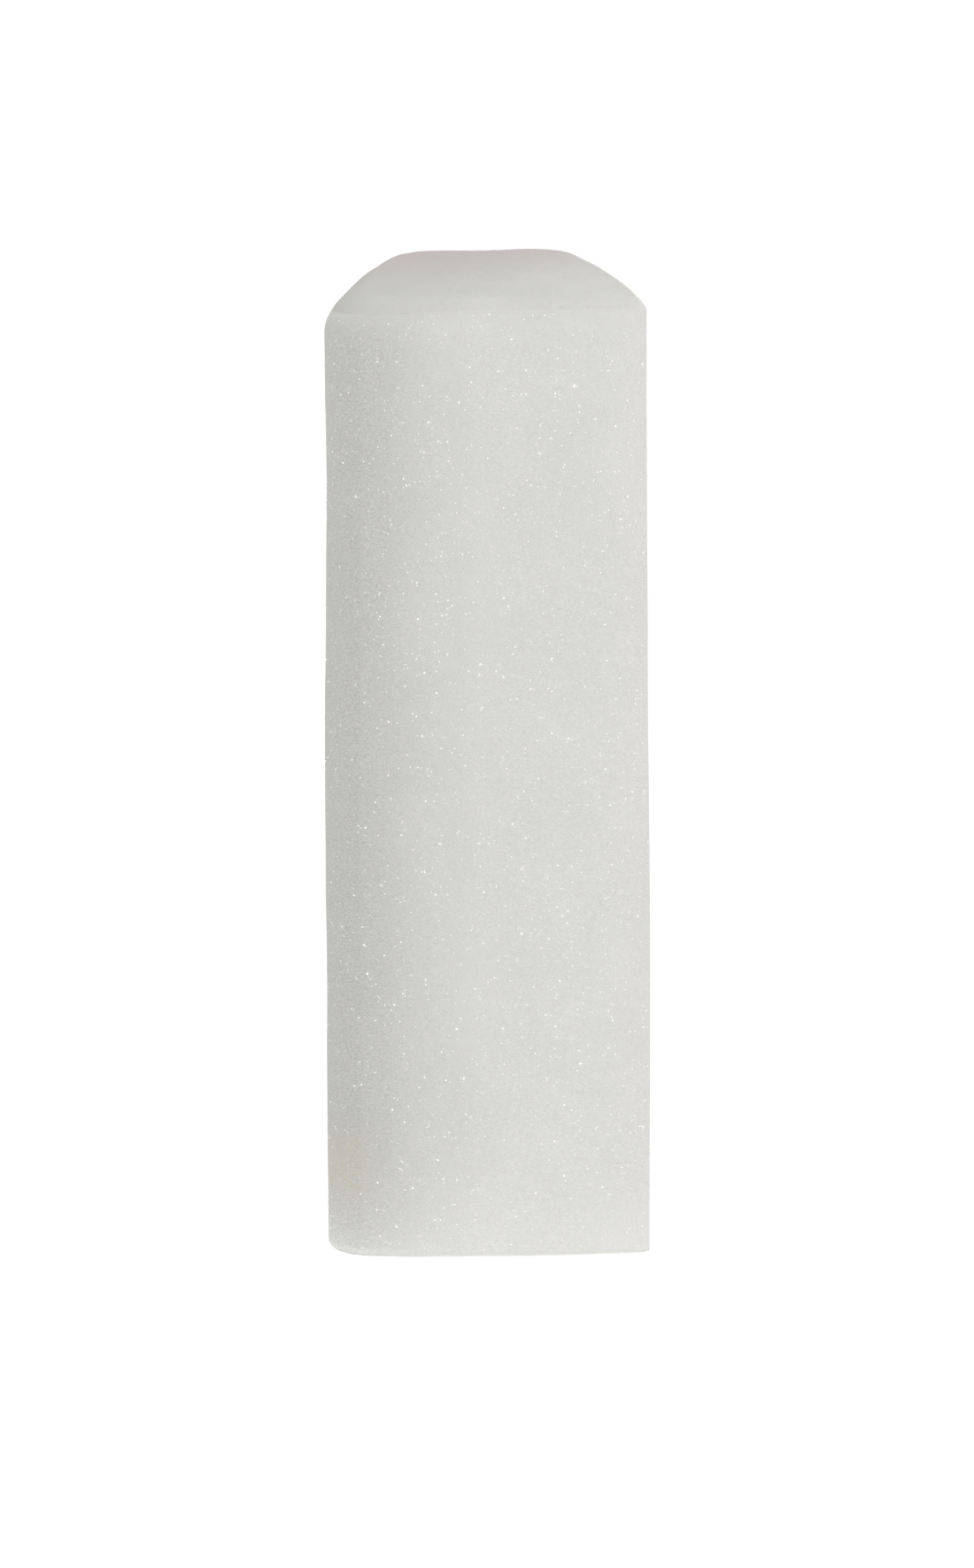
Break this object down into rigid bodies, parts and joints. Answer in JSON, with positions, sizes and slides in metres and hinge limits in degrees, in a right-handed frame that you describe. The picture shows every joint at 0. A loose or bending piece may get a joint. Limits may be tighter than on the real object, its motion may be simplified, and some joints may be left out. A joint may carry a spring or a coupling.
{
  "type": "nail buffer block",
  "caption": "Soft foam nail buffer block of rounded keystone section, wrapped in one white coated-abrasive sheet with bare foam ends.",
  "frame": {"origin": "centre of the bottom foam end, where the block stands", "axes": "+Z along the length, -Y out of the wide front face, +X to the right of that face, where the sheet's seam is"},
  "size_m": [0.0312, 0.0272, 0.095],
  "materials": {
    "foam": "fine closed-cell white foam, matte",
    "contact_adhesive": "thin pale contact adhesive",
    "backing": "latex-saturated paper, off-white",
    "bond_resin": "hardened pale amber resin",
    "abrasive_grit": "matte off-white fine grit under an anti-clog dressing, with sparse sparkling grains"
  },
  "bodies": {
    "root": {"foam_core": "foam", "adhesive_film": "contact_adhesive", "backing_sheet": "backing", "bond_coat": "bond_resin", "grit_coat": "abrasive_grit"}
  },
  "joints": []
}
